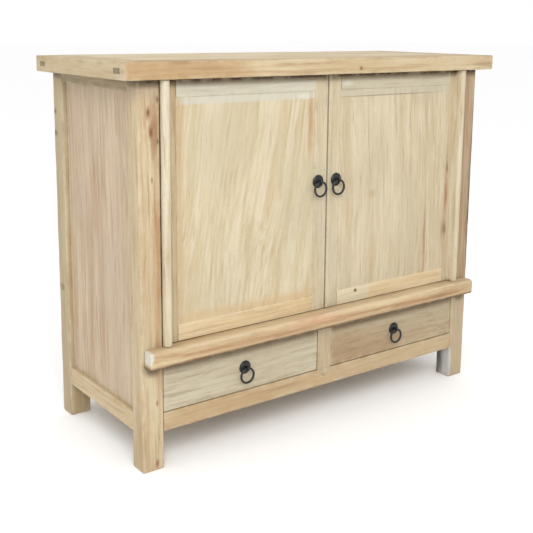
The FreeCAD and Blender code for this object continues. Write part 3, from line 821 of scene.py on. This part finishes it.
def build_muntin():
    """The upright between the drawers, whose pointed shoulder is let into the face of the rail below."""
    node = "drawer_muntin"
    proud, depth = mm(0.3, 14)
    start, finish = clamped(node, z=(high("front_lower_rail").z, low("door_sill_rail").z))
    shape = Shape()
    add_bar(shape, start, finish, "z", EDGE)
    half = (finish.x - start.x) / 2
    corners = ((start.x, start.z), (finish.x, start.z), (start.x + half, start.z - half))
    faces = (start.y - proud, start.y + depth)
    shape.add_skin([[Vector((x, y, z)) for x, z in corners] for y in faces], closed=False)
    make_piece(node, shape, wood(node, "z", MUNTIN))


def build_sides():
    """A top rail, a bottom rail and a sunk panel on each side."""
    plank_count = 2
    for side_name in SIDES:
        rails = (f"{side_name}_side_bottom_rail", f"{side_name}_side_top_rail")
        y = (high(f"front_{side_name}_post").y, low(f"rear_{side_name}_post").y)
        for node, tones in zip(rails, (SIDE_FOOT, SIDE_HEAD_SHADED)):
            make_bar(node, clamped(node, y=y), "y", RAIL_EDGE, tones)
        node = f"{side_name}_side_panel"
        opening = clamped(node, y=y, z=(high(rails[0]).z, low(rails[1]).z))
        planks = ("y", (y[1] - y[0]) / plank_count)
        make_bar(node, opening, "z", LEAST_RADIUS, SIDE_PANEL, ring=16 * MM, planks=planks)


def build_back():
    """Three rails and two panels between the rear posts."""
    plank_count = 6
    x = (high("rear_left_post").x, low("rear_right_post").x)
    rails = ("rear_lower_rail", "rear_middle_rail", "rear_top_rail")
    for node in rails:
        make_bar(node, clamped(node, x=x), "x", RAIL_EDGE, REAR)
    planks = ("x", (x[1] - x[0]) / plank_count)
    for node, below, above in (("lower_back_panel", *rails[:2]), ("upper_back_panel", *rails[1:])):
        opening = clamped(node, x=x, z=(high(below).z, low(above).z))
        make_bar(node, opening, "z", LEAST_RADIUS, INNER, planks=planks)


def build_door(side_name, side):
    """A framed door: two stiles, two rails, and a panel with a bevelled, raised field."""
    door = f"{side_name}_door"
    meeting, pivot = f"{door}_meeting_stile", f"{door}_pivot_stile"
    inner_x = (high(pivot).x, low(meeting).x) if side < 0 else (high(meeting).x, low(pivot).x)
    roundings = (EDGE, EDGE, INNER_EDGE, EDGE) if side < 0 else (EDGE, EDGE, EDGE, INNER_EDGE)
    wear = {"end_rounding": EDGE}
    # Painted shade under the top's overhang on the stile
    make_bar(meeting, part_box(meeting), "z", roundings, STILE, wear, spots=painted_eaves_shade(meeting))
    build_pivot_stile(door, side, inner_x)
    build_door_rails(door, side, inner_x)
    build_door_panel(door, side, inner_x)


def build_door_rails(door, side, inner_x):
    """The greyed head and the tan foot of the door's frame."""
    chip = Spot((0.1, 0, 0.4), mm(16, 12, 6), CHALK, 0.7, 0.8)
    patch = Spot((0.1, 0.5, 0.5), mm(90, 90, 120), CREAM, 0.9, 0.08)
    knot = Spot((0.2, 0, 0.75), mm(5, 9, 4), UMBER, 0.9, 0.5)
    head_tones = LEFT_HEAD if side < 0 else RIGHT_HEAD
    # Painted shade under the top's overhang on the head
    painted_shade = painted_eaves_shade(f"{door}_top_rail")
    head_spots, foot_spots = (painted_shade, ()) if side < 0 else ((chip, *painted_shade), (patch, knot))
    rails = {"top": (head_tones, head_spots, (EDGE, EDGE, INNER_EDGE, EDGE)),
             "bottom": (DOOR_FOOT, foot_spots, (EDGE, INNER_EDGE, EDGE, EDGE))}
    for place, (tones, spots, roundings) in rails.items():
        node = f"{door}_{place}_rail"
        make_bar(node, clamped(node, x=inner_x), "x", roundings, tones, lines=0.3, spots=spots)


def build_pivot_stile(door, side, inner_x):
    """The outer stile, and in front of it the pale round pole on which the door turns."""
    node = f"{door}_pivot_stile"
    stile_low, stile_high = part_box(f"{door}_meeting_stile")
    axis = JOINT_OF[door]["pos_m"][:2]
    radius = axis[1] - low(node).y
    inner = inner_x[0] if side < 0 else inner_x[1]
    outer = inner + side * (stile_high.x - stile_low.x)
    neck = 4 * MM
    shape = Shape()
    near, far = sorted((inner, outer))
    roundings = (EDGE, EDGE, EDGE, INNER_EDGE) if side < 0 else (EDGE, EDGE, INNER_EDGE, EDGE)
    add_bar(shape, Vector((near, *stile_low.yz)), Vector((far, *stile_high.yz)), "z", roundings, EDGE)
    near, far = sorted((axis[0] - side * neck, outer))
    neck_finish = Vector((far, stile_low.y + neck / 4, stile_high.z))
    add_bar(shape, Vector((near, axis[1], stile_low.z)), neck_finish, "z", LEAST_RADIUS)
    add_cove(shape, side, axis, radius, stile_low, stile_high.z)
    shape.finish = 1
    add_pole(shape, axis, radius)
    face_share = (stile_low.y - low(node).y) / (high(node).y - low(node).y)
    tones, marks = (PIVOT_STILE, ()) if side < 0 else (RIGHT_PANEL, stile_streak())
    # Painted shade under the top's overhang on the stile
    timber = wood(node, "z", tones, spots=(*marks, *painted_eaves_shade(node, face_share=face_share)))
    make_piece(node, shape, timber, wood(node, "z", POLE, figure=0.3, lines=0.6, name=f"{door}_pole_elm"))


def stile_streak():
    """A brown streak with dark flaws beside the right door's pole."""
    return (Spot((0.06, 0.5, 0.42), mm(5, 20, 130), seen(186, 144, 108), 0.5, 0.9),
            Spot((0.07, 0.5, 0.545), mm(3, 20, 14), UMBER, 0.55, 0.9),
            Spot((0.05, 0.5, 0.43), mm(5, 20, 30), RUSSET, 0.55, 0.9),
            Spot((0.06, 0.5, 0.275), mm(4, 20, 16), UMBER, 0.6, 0.9))


def add_pole(shape, axis, radius):
    """The turned pole from the sill to the top, a little thinner in places."""
    gap, soft, step_length = mm(0.4, 1.5, 20)
    uneven_share, round_steps = 0.03, 28
    bottom, top = high("door_sill_rail").z + gap, underside - gap
    profile = [(bottom, radius - soft), (bottom + soft, radius)]
    count = round((top - bottom) / step_length)
    for step in range(1, count):
        place = lerp(bottom + soft, top - soft, step / count)
        profile.append((place, radius * (1 - uneven_share * abs(rough((axis[0], place, 0), FACE_WAVES)))))
    profile += [(top - soft, radius), (top, radius - soft)]
    add_lathe(shape, "z", (*axis, 0), profile, round_steps)


def add_cove(shape, side, axis, radius, stile_low, top):
    """The slope from the stile's face up to the pole, which are worked from one piece of wood."""
    turn, sunk, ease_share = math.radians(24), 1 * MM, 0.06
    face = stile_low.y + sunk
    touch = Vector((axis[0] - side * radius * math.cos(turn), axis[1] - radius * math.sin(turn)))
    foot = Vector((touch.x - side * (face - touch.y) * math.tan(turn), face))
    corners = (touch, foot, Vector((axis[0], face)))
    outline = []
    for index, corner in enumerate(corners):
        outline.append(corner.lerp(corners[index - 1], ease_share))
        outline.append(corner.lerp(corners[(index + 1) % len(corners)], ease_share))
    count = round((top - stile_low.z) / STATION_STEP)
    levels = [lerp(stile_low.z, top, step / count) for step in range(count + 1)]
    shape.add_skin([[Vector((*point, level)) for point in outline] for level in levels], closed=False)


def build_door_panel(door, side, inner_x):
    """A board whose field is raised by bevels that run down into the frame."""
    node = f"{door}_panel"
    start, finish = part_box(node)
    inner_z = (high(f"{door}_bottom_rail").z, low(f"{door}_top_rail").z)
    bevel_width, bevel_depth, grid, uneven = mm(15, 1.2, 22, 0.35)
    bevel_shares = (-0.15, 0, 0.25, 0.5, 0.75, 0.9, 1, 1.1)
    crest_share = 0.9

    def grid_lines(span):
        """Places of the grid: close together on the bevels, wider apart on the field."""
        near = [span[0] + bevel_width * share for share in bevel_shares]
        far = [span[1] - bevel_width * share for share in reversed(bevel_shares)]
        count = round((far[0] - near[-1]) / grid)
        return near + [lerp(near[-1], far[0], step / count) for step in range(1, count)] + far

    def front(x, z):
        """The bevel's straight slope, which bends softly into the field."""
        inside = min(x - inner_x[0], inner_x[1] - x, z - inner_z[0], inner_z[1] - z)
        border = max(0, inside) / bevel_width
        over = min(1, max(0, border - crest_share) / (bevel_shares[-1] - crest_share))
        rise = min(border, crest_share) + (1 - crest_share) * math.sin(QUARTER_TURN * over)
        return start.y + bevel_depth * (1 - rise) + uneven * (1 + rough((x, z, side), FACE_WAVES)) / 2

    shape = Shape()
    shape.add_slab(grid_lines(inner_x), grid_lines(inner_z), front, finish.y)
    make_piece(node, shape, left_panel_wood(node) if side < 0 else right_panel_wood(node))


def left_panel_wood(node):
    """Slanting grain, a greyed head with a chip, a brown streak, and warmer edges."""
    spots = (Spot((0.5, 0, 1), (ALL_ACROSS, *mm(30, 22)), seen(217, 212, 194), 0.85, 0.12),
             Spot((0.92, 0, 0.967), mm(24, 20, 6), CHALK, 0.9, 0.4),
             Spot((0.95, 0, 0.85), mm(7, 20, 62), seen(194, 146, 106), 0.7, 0.8),
             Spot((0.5, 0, 0), (ALL_ACROSS, *mm(30, 26)), seen(222, 192, 148), 0.75, 0.4),
             Spot((0, 0, 0.45), (*mm(21, 30), ALL_ACROSS), seen(206, 180, 140), 0.75, 0.3))
    return wood(node, "z", LEFT_PANEL, ring=13 * MM, figure=0.4, lines=0.35, sway=95 * MM, arch=3, slant=-8,
                spots=spots)


def right_panel_wood(node):
    """Straighter grain, a greyed head, a painted shadow line along the field's top edge, brown streaks and a
    stain.
    """
    spots = (Spot((0.5, 0, 1), (ALL_ACROSS, *mm(30, 22)), seen(206, 198, 174), 0.7, 0.12),
             # A painted shadow line along the top edge of the raised field
             Spot((0.42, 0, 0.956), mm(165, 20, 1.4), UMBER, 0.45, 0.5),
             Spot((0.795, 0, 0.19), mm(4, 20, 95), seen(172, 124, 86), 0.7, 0.9),
             Spot((0.985, 0, 0.38), mm(6, 20, 120), seen(190, 150, 114), 0.5, 0.9),
             Spot((0.98, 0, 0.23), mm(6, 20, 22), RUSSET, 0.5, 0.9),
             Spot((0.3, 0, 0.47), mm(12, 20, 9), seen(184, 158, 120), 0.5, 0.9))
    return wood(node, "z", RIGHT_PANEL, ring=15 * MM, figure=0.25, lines=0.4, sway=70 * MM, arch=2,
                spots=spots)


def build_drawer_front(side_name, side):
    """A plain board; the right one is greyer above and browner below."""
    node = f"{side_name}_drawer_front"
    rounding = 1.5 * MM
    wear = {"end_rounding": 1.2 * MM, "wave": 0.5 * MM}
    tones, figure, lines, marks = LEFT_DRAWER, 0.3, 0.25, ()
    if side > 0:
        tones, figure, lines = RIGHT_DRAWER, 0.5, 0.5
        marks = (Spot((0.75, 0, 0.8), mm(260, 30, 45), seen(206, 192, 160), 0.5, 0.5),
                 Spot((0.15, 0, 0.2), mm(190, 30, 40), seen(172, 136, 98), 0.45, 0.8))
    # Painted shade under the sill's nose
    spots = (*marks, painted_shade_band(node, high(node).z, UNDER_SILL))
    make_bar(node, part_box(node), "x", rounding, tones, wear, ring=20 * MM, figure=figure, lines=lines,
             sway=110 * MM, arch=3, slant=0, spots=spots)


def build_pull(owner, carrier, metal):
    """A domed rosette with the eye and the legs of its split pin, and the ring that hangs in the eye."""
    boss, ring = f"{owner}_pull_boss", f"{owner}_pull_ring"
    eye = Vector(JOINT_OF[f"{owner}_ring"]["pos_m"])
    ring_low, ring_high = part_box(ring)
    wire = (ring_high.y - ring_low.y) / 2
    ring_radius = (ring_high.x - ring_low.x) / 2 - wire
    eye_radius = eye.y - low(boss).y
    shape = Shape()
    add_rosette(shape, eye, eye_radius, low(carrier).y, (high(boss).x - low(boss).x) / 2)
    add_pin(shape, eye, eye_radius, wire, high(boss).y)
    make_piece(boss, shape, metal)
    ring_steps, uneven_share = 56, 0.06
    shape = Shape()
    add_torus(shape, "y", eye - Vector((0, 0, ring_radius)), ring_radius, wire, ring_steps, uneven_share)
    make_piece(ring, shape, metal)


def add_rosette(shape, eye, eye_radius, face, radius):
    """The dome on the wood's face, with a groove inside its rim."""
    rim, groove = mm(1.4, 0.5)
    dome_share, arc_steps, round_steps = 0.93, 9, 44
    front, back = eye_radius, face - eye.y
    dome_depth = back - rim - front
    profile = [(front, LEAST_RADIUS)]
    for step in range(1, arc_steps + 1):
        angle = QUARTER_TURN * step / arc_steps
        profile.append((front + dome_depth * (1 - math.cos(angle)), radius * dome_share * math.sin(angle)))
    profile += [(back - rim + groove / 2, radius * dome_share + groove / 2), (back - rim, radius - groove),
                (back - rim + groove, radius), (back, radius)]
    add_lathe(shape, "y", eye, profile, round_steps)


def add_pin(shape, eye, eye_radius, wire, back):
    """The pin's eye, its neck at the dome, and its bent legs behind the wood."""
    play, leg_half_width, leg_length, leg_thickness = mm(0.26, 2, 14, 2)
    neck, collar = mm(2.6, 4.4)
    eye_steps, neck_steps = 28, 20
    uneven_share, width_share, throat_share, shoulder_share = 0.04, 1.8, 0.6, 0.8
    hole = wire + play
    middle, half = (eye_radius + hole) / 2, (eye_radius - hole) / 2
    add_torus(shape, "x", eye, middle, half, eye_steps, uneven_share, width_share)
    profile = [(hole, neck * throat_share), (eye_radius, neck),
               (eye_radius + neck / 2, collar * shoulder_share), (eye_radius + neck, collar)]
    add_lathe(shape, "y", eye, profile, neck_steps)
    corner = Vector((leg_half_width, 0, leg_length))
    legs_low = Vector((eye.x, back - leg_thickness, eye.z)) - corner
    legs_high = Vector((eye.x, back, eye.z)) + corner
    add_bar(shape, legs_low, legs_high, "z", leg_thickness / 4, leg_thickness / 4, nicks=0)


def dress_inside():
    """Plain inner pieces keep their CAD shape, with eased edges and unfinished wood."""
    plank_width, weld_reach = mm(112, 0.01)
    boards = ("cabinet_floor", "shelf")
    grains = dict.fromkeys(boards, "x")
    for node in ("top_battens", "floor_bearers", "shelf_bearers", "drawer_runners", "drawer_guides"):
        grains[node] = "y"
    for side_name in SIDES:
        for part, grain in (("inner_side", "y"), ("outer_side", "y"), ("back", "x"), ("bottom", "x")):
            grains[f"{side_name}_drawer_{part}"] = grain
    for node, grain in grains.items():
        piece = frame["nodes"][node]
        planks = ("y", plank_width) if node in boards else None
        piece.data.materials.clear()
        piece.data.materials.append(wood(node, grain, INNER, planks=planks))
        piece.modifiers.new("joined faces", "WELD").merge_threshold = weld_reach
        bevel = piece.modifiers.new("eased edges", "BEVEL")
        bevel.width = EDGE
        bevel.segments = 2
        bevel.limit_method = "ANGLE"


# Camera, light and floor

# The camera's place, its turns in radians, its sensor in millimetres, and shares of the sensor's width
CAMERA_PLACE = (-1.397, -1.836, 0.9745)
CAMERA_YAW, CAMERA_PITCH, CAMERA_ROLL = -0.637, -0.1825, -0.0089
SENSOR_WIDTH = 36
FOCAL_SHARE = 1.697
SHIFT_UP_SHARE = -0.14
# The light's place and its width, and its power in watts
KEY_PLACE = (-1.8, -2.8, 2.6)
KEY_SIZE = 2
KEY_POWER = 80
FLOOR_REACH = 40


def add_camera():
    data = bpy.data.cameras.new("camera")
    data.sensor_width = SENSOR_WIDTH
    data.lens = SENSOR_WIDTH * FOCAL_SHARE
    data.shift_y = SHIFT_UP_SHARE
    camera = add_object("camera", data)
    turns = ((CAMERA_YAW, "Z"), (CAMERA_PITCH, "X"), (CAMERA_ROLL, "Y"), (QUARTER_TURN, "X"))
    pose = Matrix.Translation(CAMERA_PLACE)
    for angle, axis in turns:
        pose = pose @ Matrix.Rotation(angle, 4, axis)
    camera.matrix_world = pose
    bpy.context.scene.camera = camera


def add_light():
    """A wide soft light from the upper left, aimed at the middle of the part."""
    data = bpy.data.lights.new("key", "AREA")
    data.shape = "DISK"
    data.size = KEY_SIZE
    data.energy = KEY_POWER
    light = add_object("key", data)
    light.location = KEY_PLACE
    aim = (cad_low + cad_high) / 2 - Vector(KEY_PLACE)
    light.rotation_euler = aim.to_track_quat("-Z", "Y").to_euler()


def add_floor():
    """A wide pale floor that runs on past the view."""
    mesh = bpy.data.meshes.new("floor")
    corners = [(FLOOR_REACH * x, FLOOR_REACH * y, 0) for x, y in ((-1, -1), (1, -1), (1, 1), (-1, 1))]
    mesh.from_pydata(corners, [], [(0, 1, 2, 3)])
    nodes = Nodes("floor_paper")
    tone = nodes.noise(nodes.place, PAPER)
    nodes.shade(base_color=nodes.mix(tone, srgb(254, 254, 254), srgb(252, 252, 252)), roughness=0.9)
    mesh.materials.append(nodes.material)
    floor = add_object("floor", mesh)


def add_world():
    world = bpy.data.worlds.new("studio")
    world.use_nodes = True
    background = next(node for node in world.node_tree.nodes if node.type == "BACKGROUND")
    background.inputs["Color"].default_value = (1, 1, 1, 1)
    background.inputs["Strength"].default_value = 1
    bpy.context.scene.world = world


build_top()
build_posts()
build_front_frame()
build_sides()
build_back()
black_iron = iron("black_iron")
for side_name, side in SIDES.items():
    build_door(side_name, side)
    build_drawer_front(side_name, side)
    build_pull(f"{side_name}_door", f"{side_name}_door_meeting_stile", black_iron)
    build_pull(f"{side_name}_drawer", f"{side_name}_drawer_front", black_iron)
dress_inside()

add_camera()
add_floor()
add_world()
add_light()
bpy.context.scene.view_settings.view_transform = "Standard"
